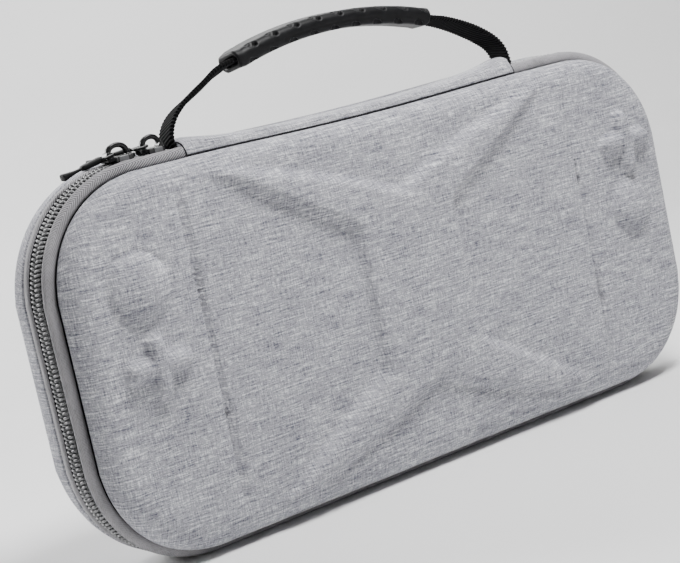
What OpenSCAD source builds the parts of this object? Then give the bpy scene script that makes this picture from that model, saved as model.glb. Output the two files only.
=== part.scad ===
// Carrying case for a portable game console.
// It stands on its long lower edge, front face towards -Y, handle up (+Z).
// The origin is at the middle of the outline, on the surface it stands on.

/* [Case body] */
// Length of the case over its widest outline
case_w = 260; // [252:1:270]
// Height of the case body over its widest outline
case_h = 128; // [124:1:134]
// Corner radius of the widest outline
corner_r = 37; // [34:1:42]
// Half the width of the zip gusset, from the middle of the chain to a shell's rim
gusset = 7.5; // [7.5:0.1:8.5]
// Thickness of the moulded shells
wall = 3.5; // [2.5:0.1:4]

/* [Front shell] */
// How far the front shell's rim is set in from the widest outline
front_inset = 3.5; // [3.4:0.1:4.5]
// Depth of the front shell from its rim to its flat face
front_d = 9.5; // [9:0.1:12]
// Radius of the front shell's rounded edge
front_edge = 8.5; // [6:0.5:8.5]
// Height of the raised X and centre bar
relief_h = 1.6; // [0.8:0.1:2]
// Diameter of the two domes
dome_d = 22; // [18:1:24]
// Height of the two domes
dome_h = 2.6; // [2.2:0.1:3]
// Distance of domes and plus shapes from the middle
dome_x = 104; // [100:1:106]
// Distance of the two pressed lines from the middle
line_x = 81.5; // [78:0.5:84]

/* [Back shell] */
// Depth of the back shell from its rim to its flat back
back_d = 16.2; // [14:0.1:20]
// Radius of the back shell's rounded edge
back_edge = 9; // [6:0.5:11]

/* [Zip] */
// Half the width of the closed chain
chain_hw = 3.1; // [2.8:0.1:3.2]
// Height of the coil over its tape
coil_h = 2.25; // [1.8:0.05:2.4]
// Thickness of the folded tape
tape_t = 1.3; // [1:0.1:1.5]
// Distance of the slider nearer the handle from the middle
slider_b_x = 78.2; // [78:0.1:78.5]
// Distance of the outer slider from the middle
slider_a_x = 90.6; // [90.4:0.1:91]

/* [Handle] */
// Distance of the handle's ends from the middle
root_x = 72; // [71.8:0.1:72.2]
// Radius of the arch through the middle of the webbing
arch_r = 139; // [138:1:140]
// Height of the arch's centre
arch_cz = 17.6; // [17:0.1:18.5]
// How far the handle leans towards the back, in degrees
handle_lean = 6; // [0:1:8]
// How far the strap is rolled about its own length, in degrees
strap_roll = 10; // [0:1:12]
// Width of the webbing
web_w = 10; // [8:0.5:10]
// Thickness of the webbing
web_t = 2.2; // [1.6:0.1:2.2]
// Half angle of the arch that the grip covers
grip_a = 17.6; // [15:0.2:19]
// Width of the grip
grip_w = 13; // [12.5:0.5:14]
// Thickness of the grip
grip_t = 5.8; // [5.4:0.1:7]

/* [Inside] */
// Width of the strap that holds the console
strap_w = 38; // [25:1:45]
// Height of the mesh pocket's mouth
pocket_z = 74; // [60:1:84]
// Number of card pockets in a row
cards = 5; // [3:1:5]

/* [Hidden] */
$fn = 72;
front_y = gusset + front_d;
back_y = gusset + back_d;
y_mid = (back_y - front_y - dome_h) / 2;
hx = case_w / 2 - corner_r;
hz = case_h / 2 - corner_r;
panel_x = root_x - 0.2;
zip_x = root_x + 0.1;
fold = 4.2;
slider_l = 10;
crown_r = 4.35;
crown_w = 1.5;
pivot_x = -2.2;
pivot_u = 2.5;
pull_end = 18.5;
fabric = [0.67, 0.67, 0.70];
tape_c = [0.58, 0.57, 0.59];
black = [0.06, 0.06, 0.065];
metal = [0.30, 0.30, 0.31];
lining = [0.12, 0.12, 0.13];

// Everything is drawn in a plane frame: x along the case, y up, z forwards.
module place() translate([0, -y_mid, 0]) rotate([90, 0, 0]) children();

// One rounded corner, swept. The profile's x runs outwards from the corner's centre, its y forwards.
module corner(i) translate([i == 0 || i == 3 ? hx : -hx, case_h / 2 + (i < 2 ? hz : -hz), 0])
    rotate([0, 0, 90 * i]) rotate_extrude(angle = 90) children();

// A straight stretch of one side (0 right, 1 top, 2 left, 3 bottom) from a to b.
module stretch(i, a, b) translate([0, case_h / 2, 0]) rotate([0, 0, 90 * i])
    translate([i % 2 == 0 ? hx : hz, b, 0]) rotate([90, 0, 0]) linear_extrude(b - a) children();

module all_round() {
    for (i = [0:3]) corner(i) children();
    for (i = [0, 2]) stretch(i, -hz, hz) children();
    for (i = [1, 3]) stretch(i, -hx, hx) children();
}

// Round the case from one end of the hinge panel to the other.
module zip_round() {
    for (i = [0:3]) corner(i) children();
    for (i = [0, 2]) stretch(i, -hz, hz) children();
    stretch(3, -hx, hx) children();
    stretch(1, zip_x, hx) children();
    stretch(1, -hx, -zip_x) children();
}

module quarter(r) intersection() {
    circle(r);
    square([r, r]);
}

module edge_2d(r, d, e) {
    square([r - e, d]);
    square([r, d - e]);
    translate([r - e, d - e]) quarter(e);
}

// Half section of a moulded tray: a wall, a rounded edge and a flat plate.
module tray_2d(r, d, e) difference() {
    edge_2d(r, d, e);
    translate([0, -1]) square([r - wall, 1.5]);
    edge_2d(r - wall, d - wall, e - wall);
}

module tray(inset, d, e) {
    all_round() tray_2d(corner_r - inset, d, e);
    translate([-hx, case_h / 2 - hz, d - wall]) cube([2 * hx, 2 * hz, wall]);
}

module dome() intersection() {
    r = (dome_d * dome_d / 4 + dome_h * dome_h) / (2 * dome_h);
    translate([0, 0, dome_h - r]) sphere(r, $fn = 160);
    translate([0, 0, -0.3]) cylinder(d = dome_d + 4, h = dome_h + 1);
}

module plus() for (a = [0, 90]) rotate([0, 0, a]) translate([-12, -3.8, -0.3]) cube([24, 7.6, 2.1]);

// One quarter of the raised X, from the middle of the face.
module x_arm() translate([0, 0, -0.3]) linear_extrude(relief_h + 0.3)
    polygon([[0, 0], [21, 0], [21, 25], [60, 46], [64, 49], [60, 50.5], [48, 49], [0, 33]]);

module front_shell() color(fabric) place() difference() {
    translate([0, 0, gusset]) union() {
        tray(front_inset, front_d, front_edge);
        translate([0, case_h / 2, front_d]) {
            for (a = [0, 1], b = [0, 1]) mirror([a, 0, 0]) mirror([0, b, 0]) x_arm();
            translate([-dome_x, 27, 0]) dome();
            translate([dome_x - 0.5, 2.5, 0]) dome();
            translate([-dome_x, 2, 0]) plus();
            translate([dome_x + 0.5, 27, 0]) plus();
        }
    }
    for (s = [-1, 1]) translate([s * line_x - 0.6, 14, front_y - 0.7]) cube([1.2, case_h - 28, 2]);
}

module back_shell() color(fabric) place() mirror([0, 0, 1]) translate([0, 0, gusset])
    tray(0, back_d, back_edge);

// The tape's strip that runs under the coil, and its upright fold. s is 1 in front and -1 behind.
module tape_strip_2d(top) {
    translate([corner_r - 3.4, 0.3]) square([0.8, fold]);
    translate([corner_r - 3.4, fold]) square([3.4 - top, 0.6]);
}

module front_tape_2d() {
    tape_strip_2d(0.6);
    translate([corner_r - (gusset - fold), fold]) difference() {
        quarter(gusset - fold);
        quarter(gusset - fold - tape_t);
    }
    translate([corner_r - 5.9, gusset - 1.2]) square([2.7, 1.2]);
}

module back_tape_2d() {
    tape_strip_2d(0.15);
    translate([corner_r - 0.15 - tape_t, fold]) square([tape_t, gusset - fold]);
}

module coil_2d() translate([corner_r - 2.6, 0.06]) square([coil_h, chain_hw - 0.06]);

// Room for the post of each slider, between the two halves of the chain.
module post_room() for (p = [[-slider_a_x + 3.2, 0], [-slider_b_x - 3.2, 0]])
    translate([p[0], case_h - 6, 0]) rotate([-90, 0, 0]) cylinder(r = 1.35, h = 8);

module front_zip_tape() color(tape_c) place() difference() {
    zip_round() front_tape_2d();
    post_room();
}

module back_zip_tape() color(tape_c) place() difference() {
    mirror([0, 0, 1]) zip_round() back_tape_2d();
    post_room();
}

module front_zip_coil() color(metal) place() difference() {
    zip_round() coil_2d();
    post_room();
}

module back_zip_coil() color(metal) place() difference() {
    mirror([0, 0, 1]) zip_round() coil_2d();
    post_room();
}

module zip_end_stops() color(black) place() for (s = [-1, 1])
    translate([s * (leg_x - 2.1) - 0.6, case_h - 4, -3]) cube([1.2, 2.35, 6]);

// Rounds up over the seam and crosses to the other shell, with a raised tab at each end for the handle.
module hinge_panel() color(fabric) place() difference() {
    union() {
        stretch(1, -panel_x, panel_x) {
            translate([corner_r - (gusset - fold), fold]) difference() {
                quarter(gusset - fold);
                quarter(gusset - fold - 1.6);
            }
            translate([corner_r - 1.6, -gusset]) square([1.6, gusset + fold]);
        }
        for (s = [0, 1]) mirror([s, 0, 0]) translate([0, case_h, -6.5]) linear_extrude(12)
            polygon([[42, -0.8], [52, 0.7], [62, 2.2], [67.5, 2.9], [69.4, 2.7], [69.4, -0.8]]);
    }
    for (s = [0, 1]) mirror([s, 0, 0]) translate([leg_x - web_t / 2 - 0.15, case_h - 5, -web_w / 2 - 0.4])
        cube([6, 12, web_w + 0.8]);
}

// Strap: a long arc, a tight arc at each end and two upright legs, leaning back and rolled a little.
leg_x = root_x - web_t / 2;
bend_r = 8;
arch_a = asin((leg_x - bend_r) / (arch_r - bend_r));
bend_z = arch_cz + (arch_r - bend_r) * cos(arch_a);
module lean() translate([0, case_h, 0]) rotate([-handle_lean, 0, 0]) translate([0, -case_h, 0]) children();
module strap_2d(roll) rotate(roll) square([web_t, web_w], center = true);

module handle_webbing() color(black) place() lean() {
    translate([0, arch_cz, 0]) rotate([0, 0, 89.9 - arch_a]) rotate_extrude(angle = 2 * arch_a + 0.2)
        translate([arch_r, 0]) strap_2d(-strap_roll);
    for (s = [0, 1]) mirror([s, 0, 0]) {
        translate([leg_x - bend_r, bend_z, 0]) rotate_extrude(angle = 90 - arch_a)
            translate([bend_r, 0]) strap_2d(-strap_roll);
        translate([leg_x, case_h - 4.6, 0]) rotate([-90, 0, 0]) linear_extrude(bend_z - case_h + 4.7)
            strap_2d(0);
    }
}

module rounded_2d(w, h, r) {
    translate([-w / 2 + r, -h / 2]) square([w - 2 * r, h]);
    translate([-w / 2, -h / 2 + r]) square([w, h - 2 * r]);
    for (a = [-1, 1], b = [-1, 1]) translate([a * (w / 2 - r), b * (h / 2 - r)]) circle(r);
}

module handle_grip() color(black) place() lean() translate([0, arch_cz, 0]) difference() {
    rotate([0, 0, 90 - grip_a]) rotate_extrude(angle = 2 * grip_a) translate([arch_r, 0]) rotate(-strap_roll)
        difference() {
            rounded_2d(grip_t, grip_w, 2.4);
            square([web_t + 0.3, web_w + 0.4], center = true);
        }
    for (k = [-5:5], s = [-1, 1], e = [-1, 1]) rotate([0, 0, -k * 3.05]) translate([0, arch_r, 0])
        rotate([-strap_roll, 0, 0]) translate([0, e * (grip_t / 2 + 0.2), s * (grip_w / 2 - 1.6)])
            rotate([-90, 0, 0]) cylinder(r = 1.1, h = 1.6, center = true, $fn = 24);
}

// Slider: two plates joined by a post, small side walls and a crown that the pull hangs on.
module slider_2d() polygon([[-slider_l / 2, -3.1], [-2.6, -4.05], [slider_l / 2 - 1, -4.05], [slider_l / 2, -3.3],
    [slider_l / 2, 3.3], [slider_l / 2 - 1, 4.05], [-2.6, 4.05], [-slider_l / 2, 3.1]]);

module slider() {
    translate([0, 0.15, 0]) rotate([-90, 0, 0]) linear_extrude(1) slider_2d();
    translate([0, -4.7, 0]) rotate([-90, 0, 0]) linear_extrude(1) slider_2d();
    translate([3.2, -4.6, 0]) rotate([-90, 0, 0]) cylinder(r = 1, h = 5, $fn = 32);
    for (s = [-1, 1]) translate([-2.4, -1.6, s > 0 ? 3.4 : -4.05]) cube([6.4, 2, 0.65]);
    translate([0, 1.45, -crown_w / 2]) linear_extrude(crown_w) difference() {
        circle(crown_r);
        circle(crown_r - 1.1);
        translate([-10, -20.4]) square([20, 20]);
    }
}

// Wire loop round the crown, drawn along -x from its own pivot.
module pull_link() rotate([-90, 0, 0]) translate([0, 0, -0.45]) linear_extrude(0.9) difference() {
    translate([-4.7, -2.4]) square([5.15, 4.8]);
    translate([-3.8, -1.6]) square([3.35, 3.2]);
}

// Moulded tab with a flared end.
module pull_tab() translate([0, 0, -1.8]) linear_extrude(3.6)
    polygon([[-4.2, -0.9], [-4.2, 0.9], [-6, 1.15], [-11, 1.05], [-13, 0.65], [-15, 0.8], [-pull_end, 1.45],
        [-pull_end, -1.45], [-15, -0.8], [-13, -0.65], [-11, -1.05], [-6, -1.15]]);

module at_slider(x) translate([-x, case_h, 0]) children();
module at_pivot(x, down) at_slider(x) translate([pivot_x, pivot_u, 0]) rotate([0, 0, down]) children();

module slider_a_body() color(black) place() at_slider(slider_a_x) slider();
module pull_a_link() color(metal) place() at_pivot(slider_a_x, 11) pull_link();
module pull_a_tab() color(black) place() at_pivot(slider_a_x, 11) pull_tab();
module slider_b_body() color(black) place() at_slider(slider_b_x) rotate([0, 180, 0]) slider();
module pull_b_link() color(metal) place() at_pivot(slider_b_x, 0) rotate([0, -12, 0]) pull_link();
module pull_b_tab() color(black) place() at_pivot(slider_b_x, 0) translate([0, 0, -3.1]) rotate([0, -6, 0]) pull_tab();

// Elastic strap across the back shell, in two overlapping halves.
module console_strap_lower() color(lining) place()
    translate([-strap_w / 2, wall, -5.2]) cube([strap_w, 76, 1.4]);
module console_strap_upper() color(lining) place()
    translate([-strap_w / 2 + 2, 64, -3.6]) cube([strap_w - 4, case_h - wall - 64, 1.4]);

module plate_2d(w, z0, z1, r) {
    translate([-w / 2 + r, z0]) square([w - 2 * r, z1 - z0]);
    translate([-w / 2, z0 + r]) square([w, z1 - z0 - 2 * r]);
    for (a = [-1, 1], z = [z0 + r, z1 - r]) translate([a * (w / 2 - r), z]) circle(r);
}

// Soft page between the shells. Its upper edge is sewn under the hinge panel.
module card_page() color(lining) place() translate([0, 0, -0.7]) linear_extrude(1.4) {
    plate_2d(212, 16, case_h - 15, 20);
    translate([-62, case_h - 40]) square([124, 38.4]);
}

module card_pockets() color(lining) place()
    for (i = [0:cards - 1], z = [24, 68]) translate([(i - (cards - 1) / 2) * 38 - 16, z, 0.7]) difference() {
        cube([32, 34, 3.9]);
        translate([1, 1, -1]) cube([30, 40, 4.1]);
    }

module mesh_pocket() color(lining) place() translate([0, 0, gusset + 0.2]) linear_extrude(0.8) intersection() {
    plate_2d(case_w - 2 * (front_inset + wall), front_inset + wall, case_h - front_inset - wall, corner_r - front_inset - wall);
    translate([-case_w / 2, 0]) square([case_w, pocket_z]);
}

module pocket_binding() color(black) place() translate([-case_w / 2 + front_inset + wall + 0.1, pocket_z, gusset + 0.3])
    cube([case_w - 2 * (front_inset + wall) - 0.2, 7, 1.4]);

back_shell();
back_zip_tape();
back_zip_coil();
console_strap_lower();
console_strap_upper();
hinge_panel();
handle_webbing();
handle_grip();
card_page();
card_pockets();
zip_end_stops();
slider_b_body();
pull_b_link();
pull_b_tab();
slider_a_body();
pull_a_link();
pull_a_tab();
front_shell();
front_zip_tape();
front_zip_coil();
mesh_pocket();
pocket_binding();
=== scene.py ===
import math

import bmesh
import bpy
import numpy as np
from mathutils import Matrix, Vector


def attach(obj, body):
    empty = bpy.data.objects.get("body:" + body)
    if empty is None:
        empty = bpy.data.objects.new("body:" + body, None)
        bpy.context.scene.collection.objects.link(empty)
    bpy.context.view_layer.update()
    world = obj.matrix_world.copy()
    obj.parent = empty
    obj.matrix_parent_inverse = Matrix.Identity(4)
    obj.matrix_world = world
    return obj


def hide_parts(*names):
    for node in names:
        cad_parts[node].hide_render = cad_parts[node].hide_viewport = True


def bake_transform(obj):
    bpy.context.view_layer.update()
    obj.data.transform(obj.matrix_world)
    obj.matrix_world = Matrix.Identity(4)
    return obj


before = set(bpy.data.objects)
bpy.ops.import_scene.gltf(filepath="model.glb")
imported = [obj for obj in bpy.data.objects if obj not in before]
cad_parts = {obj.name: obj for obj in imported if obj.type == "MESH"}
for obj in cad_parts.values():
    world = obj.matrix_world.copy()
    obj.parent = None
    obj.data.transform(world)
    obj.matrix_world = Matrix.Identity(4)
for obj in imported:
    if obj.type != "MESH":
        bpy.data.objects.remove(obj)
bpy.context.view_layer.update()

# ---------------------------------------------------------------- sizes, in millimetres
# Local coordinates are (x, v, z): x along the case, v forwards from the middle of the chain, z up.
MM = 0.001
YC = -2.05
W, H, R = 260.0, 128.0, 37.0
HX, HZ, ZC = W / 2 - R, H / 2 - R, H / 2
GUSSET, WALL = 7.5, 3.5
ZIP_X, PANEL_X = 72.1, 71.8
FRONT_V, BACK_V = 17.0, 23.7
SLIDER_A, SLIDER_B = 90.6, 78.2
PIVOT_X, PIVOT_U = -2.2, 2.5
LEAN = math.radians(6)


def smooth(a, b, x):
    t = np.clip((np.asarray(x, float) - a) / (b - a), 0, 1)
    return t * t * (3 - 2 * t)


def sag(P):
    """The long upper edge of the soft case dips a little between the ends of the handle."""
    x, z = P[:, 0], P[:, 2]
    k = np.clip(1 - (x / 74) ** 2, 0, 1) ** 2
    Q = P.copy()
    Q[:, 2] -= 1.15 * k * smooth(96, 124, z)
    # the soft corners are drawn in a little
    dx, dz = np.abs(x) - HX, np.abs(z - ZC) - HZ
    r = np.hypot(dx, dz)
    at = (dx > 0) & (dz > 0)
    nx, nz = np.where(at, dx / np.maximum(r, 1e-6), 0), np.where(at, dz / np.maximum(r, 1e-6), 0)
    pull_in = 0.75 * np.sqrt(2 * nx * nz + 1e-12) * np.minimum(r / R, 1) ** 2 * at
    Q[:, 0] -= np.sign(x) * nx * pull_in
    Q[:, 2] -= np.sign(z - ZC) * nz * pull_in
    return Q


def to_world(P):
    P = np.asarray(P, float)
    return np.stack([P[:, 0], -P[:, 1] + YC, P[:, 2]], 1) * MM


# ---------------------------------------------------------------- camera
AZ, EL, ROLL = math.radians(33.908), math.radians(8.267), math.radians(-12.205)
d = Vector((-math.sin(AZ) * math.cos(EL), -math.cos(AZ) * math.cos(EL), math.sin(EL)))
eye = (d * 596.87 + Vector((-18.691, YC, 69.999))) * MM
right = (-d).cross(Vector((0, 0, 1))).normalized()
up = right.cross(-d).normalized()
cx = math.cos(ROLL) * right + math.sin(ROLL) * up
cy = -math.sin(ROLL) * right + math.cos(ROLL) * up
cam_data = bpy.data.cameras.new("camera")
cam_data.sensor_fit = "HORIZONTAL"
cam_data.sensor_width = 36.0
cam_data.lens = 1751.9 * 36.0 / 680.0
cam_data.clip_start = 0.01
cam_data.clip_end = 50
cam = bpy.data.objects.new("camera", cam_data)
bpy.context.scene.collection.objects.link(cam)
cam.matrix_world = Matrix(((cx.x, cy.x, d.x, eye.x), (cx.y, cy.y, d.y, eye.y), (cx.z, cy.z, d.z, eye.z), (0, 0, 0, 1)))
bpy.context.scene.camera = cam


# ---------------------------------------------------------------- materials
class Mat:
    """Small helper for procedural materials."""

    def __init__(self, name, rough=0.8, spec=0.3, sheen=0.0, metallic=0.0, coat=0.0):
        self.m = bpy.data.materials.new(name)
        self.m.use_nodes = True
        self.t = self.m.node_tree
        self.t.nodes.clear()
        self.out = self.t.nodes.new("ShaderNodeOutputMaterial")
        self.b = self.t.nodes.new("ShaderNodeBsdfPrincipled")
        self.t.links.new(self.b.outputs["BSDF"], self.out.inputs["Surface"])
        self.b.inputs["Roughness"].default_value = rough
        self.b.inputs["Specular IOR Level"].default_value = spec
        self.b.inputs["Sheen Weight"].default_value = sheen
        self.b.inputs["Sheen Roughness"].default_value = 0.5
        self.b.inputs["Metallic"].default_value = metallic
        self.b.inputs["Coat Weight"].default_value = coat

    def link(self, a, b):
        self.t.links.new(a, b)

    def coords(self, kind="UV"):
        n = self.t.nodes.new("ShaderNodeTexCoord")
        return n.outputs[kind]

    def mapping(self, src, scale, loc=(0, 0, 0), rot=(0, 0, 0)):
        n = self.t.nodes.new("ShaderNodeMapping")
        n.inputs["Scale"].default_value = scale
        n.inputs["Location"].default_value = loc
        n.inputs["Rotation"].default_value = rot
        self.link(src, n.inputs["Vector"])
        return n.outputs["Vector"]

    def noise(self, src, scale=1.0, detail=2.0, rough=0.5, distortion=0.0):
        n = self.t.nodes.new("ShaderNodeTexNoise")
        n.inputs["Scale"].default_value = scale
        n.inputs["Detail"].default_value = detail
        n.inputs["Roughness"].default_value = rough
        n.inputs["Distortion"].default_value = distortion
        self.link(src, n.inputs["Vector"])
        return n.outputs["Fac"]

    def math(self, op, a, b=None, c=None, clamp=False):
        n = self.t.nodes.new("ShaderNodeMath")
        n.operation = op
        n.use_clamp = clamp
        for i, v in enumerate((a, b, c)):
            if v is None:
                continue
            if isinstance(v, (int, float)):
                n.inputs[i].default_value = v
            else:
                self.link(v, n.inputs[i])
        return n.outputs[0]

    def ramp(self, src, stops):
        n = self.t.nodes.new("ShaderNodeValToRGB")
        r = n.color_ramp
        while len(r.elements) > 1:
            r.elements.remove(r.elements[0])
        r.elements[0].position = stops[0][0]
        r.elements[0].color = (*stops[0][1], 1)
        for p, c in stops[1:]:
            e = r.elements.new(p)
            e.color = (*c, 1)
        self.link(src, n.inputs["Fac"])
        return n.outputs["Color"]

    def color(self, sock):
        self.link(sock, self.b.inputs["Base Color"])

    def bump(self, height, dist, strength=1.0):
        n = self.t.nodes.new("ShaderNodeBump")
        n.inputs["Distance"].default_value = dist
        n.inputs["Strength"].default_value = strength
        self.link(height, n.inputs["Height"])
        self.link(n.outputs["Normal"], self.b.inputs["Normal"])

    def roughness(self, sock):
        self.link(sock, self.b.inputs["Roughness"])

    def separate(self, src):
        n = self.t.nodes.new("ShaderNodeSeparateXYZ")
        self.link(src, n.inputs[0])
        return n.outputs


def heather(name, lo, mid, hi):
    """Two-tone woven cloth: long slubs along the weft, shorter ones along the warp, and single dark threads. UV is in centimetres."""
    m = Mat(name, rough=0.9, spec=0.15, sheen=0.08)
    uv = m.coords()
    long_weft = m.noise(m.mapping(uv, (0.9, 17.0, 1)), 1.0, 3.0, 0.62)
    short_weft = m.noise(m.mapping(uv, (4.6, 27.0, 1), (7, 3, 0)), 1.0, 2.0, 0.6)
    warp = m.noise(m.mapping(uv, (22.0, 2.6, 1), (3, 9, 0)), 1.0, 3.0, 0.6)
    speck = m.noise(m.mapping(uv, (21.0, 23.0, 1), (1, 2, 0)), 1.0, 2.0, 0.6)
    patch = m.noise(m.mapping(uv, (0.55, 0.8, 1), (5, 5, 0)), 1.0, 2.0, 0.5)
    a = m.math("MULTIPLY", long_weft, 0.30)
    a = m.math("MULTIPLY_ADD", short_weft, 0.22, a)
    a = m.math("MULTIPLY_ADD", warp, 0.24, a)
    a = m.math("MULTIPLY_ADD", speck, 0.18, a)
    a = m.math("MULTIPLY_ADD", patch, 0.06, a)
    col = m.ramp(a, [(0.40, lo), (0.455, tuple(0.5 * p + 0.5 * q for p, q in zip(lo, mid))), (0.49, mid), (0.52, mid), (0.575, hi)])
    m.color(col)
    h = m.math("MULTIPLY", short_weft, 0.5)
    h = m.math("MULTIPLY_ADD", warp, 0.3, h)
    h = m.math("MULTIPLY_ADD", speck, 0.35, h)
    h = m.math("MULTIPLY_ADD", long_weft, 0.35, h)
    m.bump(h, 0.00035, 0.55)
    r = m.math("MULTIPLY_ADD", speck, 0.2, 0.76)
    m.roughness(r)
    return m.m


def twill(name, lo, hi, pitch=1.05, lean=-1.25, fold=0.74, dist=0.0002):
    """Herringbone tape. UV is in centimetres: u along the tape, v across it."""
    m = Mat(name, rough=0.75, spec=0.25, sheen=0.12)
    uv = m.coords()
    s = m.separate(uv)
    across = m.math("ABSOLUTE", m.math("SUBTRACT", s[1], fold))
    q = m.math("MULTIPLY_ADD", across, lean, s[0])
    q = m.math("MULTIPLY", q, 2 * math.pi * 10 / pitch)
    # the ribs are pulled flat where the tape runs down the side
    away = m.math("MULTIPLY_ADD", s[0], -0.25, 3.6, True)
    away = m.math("MULTIPLY_ADD", away, 0.56, 0.07)
    wave = m.math("MULTIPLY_ADD", m.math("SINE", q), away, 0.5)
    fine = m.noise(m.mapping(uv, (6, 60, 1)), 1.0, 2.0, 0.6)
    broad = m.noise(m.mapping(uv, (0.8, 1.5, 1)), 1.0, 2.0, 0.5)
    a = m.math("MULTIPLY", wave, 0.36)
    a = m.math("MULTIPLY_ADD", fine, 0.39, a)
    a = m.math("MULTIPLY_ADD", broad, 0.25, a)
    m.color(m.ramp(a, [(0.27, lo), (0.52, tuple(0.25 * p + 0.75 * q for p, q in zip(lo, hi))), (0.75, hi)]))
    h = m.math("MULTIPLY_ADD", fine, 0.35, wave)
    m.bump(h, dist, 0.6)
    return m.m


def ribbed(name, lo, hi, along=9.0, rough=0.6, dist=0.0002, spec=0.35, sheen=0.08):
    """Woven band: ribs across its length with fine warp threads. UV is in centimetres."""
    m = Mat(name, rough=rough, spec=spec, sheen=sheen)
    uv = m.coords()
    s = m.separate(uv)
    q = m.math("MULTIPLY_ADD", s[1], 0.30, s[0])
    rib = m.math("MULTIPLY_ADD", m.math("SINE", m.math("MULTIPLY", q, 2 * math.pi * along)), 0.5, 0.5)
    thread = m.math("MULTIPLY_ADD", m.math("SINE", m.math("MULTIPLY", s[1], 2 * math.pi * 14)), 0.5, 0.5)
    n = m.noise(m.mapping(uv, (8, 20, 1)), 1.0, 2.0, 0.6)
    a = m.math("MULTIPLY", rib, 0.62)
    a = m.math("MULTIPLY_ADD", thread, 0.12, a)
    a = m.math("MULTIPLY_ADD", n, 0.35, a)
    m.color(m.ramp(a, [(0.25, lo), (0.85, hi)]))
    h = m.math("MULTIPLY_ADD", thread, 0.35, rib)
    h = m.math("MULTIPLY_ADD", n, 0.4, h)
    m.bump(h, dist, 0.7)
    return m.m


def moulded(name, lo, hi, rough=0.45, spec=0.4, scale=260.0, dist=0.00005, metallic=0.0, coat=0.0):
    """Moulded or painted surface with a fine grain and slightly uneven gloss. Object coordinates, in metres."""
    m = Mat(name, rough=rough, spec=spec, metallic=metallic, coat=coat)
    o = m.coords("Object")
    n = m.noise(m.mapping(o, (scale, scale, scale)), 1.0, 3.0, 0.6)
    g = m.noise(m.mapping(o, (scale * 6, scale * 6, scale * 6)), 1.0, 2.0, 0.5)
    m.color(m.ramp(n, [(0.35, lo), (0.68, hi)]))
    m.roughness(m.math("MULTIPLY_ADD", n, 0.25, rough - 0.12))
    m.bump(g, dist, 0.5)
    return m.m


def knit(name, lo, hi, cell=16.0, dist=0.0003):
    """Knitted net: small round cells in a staggered grid. UV is in centimetres."""
    m = Mat(name, rough=0.85, spec=0.2, sheen=0.1)
    uv = m.coords()
    s = m.separate(uv)
    a = m.math("SINE", m.math("MULTIPLY", m.math("ADD", s[0], s[1]), cell * math.pi))
    b = m.math("SINE", m.math("MULTIPLY", m.math("SUBTRACT", s[0], s[1]), cell * math.pi))
    w = m.math("MULTIPLY_ADD", m.math("MULTIPLY", a, b), 0.5, 0.5)
    n = m.noise(m.mapping(uv, (12, 12, 1)), 1.0, 2.0, 0.6)
    c = m.math("MULTIPLY_ADD", n, 0.4, m.math("MULTIPLY", w, 0.6))
    m.color(m.ramp(c, [(0.3, lo), (0.75, hi)]))
    m.bump(w, dist, 0.8)
    return m.m


M_SHELL = heather("shell_fabric", (0.075, 0.076, 0.105), (0.30, 0.30, 0.328), (0.62, 0.62, 0.645))
M_PANEL = heather("panel_fabric", (0.075, 0.075, 0.098), (0.30, 0.30, 0.322), (0.60, 0.60, 0.62))
M_TAPE = twill("zip_tape", (0.045, 0.043, 0.048), (0.33, 0.322, 0.336))
# near-black seam thread that also serves as painted shade: it darkens the lid's turned lip, the panel's curled hem and
# the panel's ends, where the creases between parts are in shade
M_SEAM_AND_SHADE = moulded("seam_thread_and_painted_shade", (0.012, 0.012, 0.014), (0.03, 0.03, 0.033), 0.85, 0.15, 900.0)
M_DARK = moulded("tape_shadow_side", (0.010, 0.010, 0.012), (0.022, 0.022, 0.025), 0.8, 0.2)
M_COIL = moulded("coil_nylon", (0.10, 0.10, 0.103), (0.28, 0.28, 0.285), 0.3, 0.35, 900.0)
M_WEB = ribbed("webbing", (0.0012, 0.0012, 0.0014), (0.010, 0.010, 0.0108), 8.3333, 0.8, 0.0003, 0.08, 0.0)
M_GRIP = moulded("grip_rubber", (0.0025, 0.0025, 0.003), (0.006, 0.006, 0.0068), 0.48, 0.16, 500.0, 0.00004)
M_SLIDER = moulded("slider_metal", (0.003, 0.003, 0.0034), (0.009, 0.009, 0.0098), 0.26, 0.26, 400.0, 0.00003, 0.0, 0.04)
M_BLOCK = moulded("slider_side", (0.07, 0.07, 0.075), (0.12, 0.12, 0.125), 0.38, 0.5, 400.0, 0.00003, 0.2)
M_PULL = moulded("pull_rubber", (0.002, 0.002, 0.0024), (0.006, 0.006, 0.0066), 0.5, 0.14, 500.0, 0.00004)
M_LINING = knit("lining", (0.020, 0.020, 0.022), (0.060, 0.060, 0.064), 9.0)
M_NET = knit("pocket_net", (0.006, 0.006, 0.007), (0.075, 0.075, 0.08), 5.0, 0.0006)
M_ELASTIC = ribbed("elastic", (0.012, 0.012, 0.013), (0.045, 0.045, 0.048), 11.0)
M_CARD = knit("card_fabric", (0.030, 0.030, 0.033), (0.075, 0.075, 0.08), 12.0, 0.0001)


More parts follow.
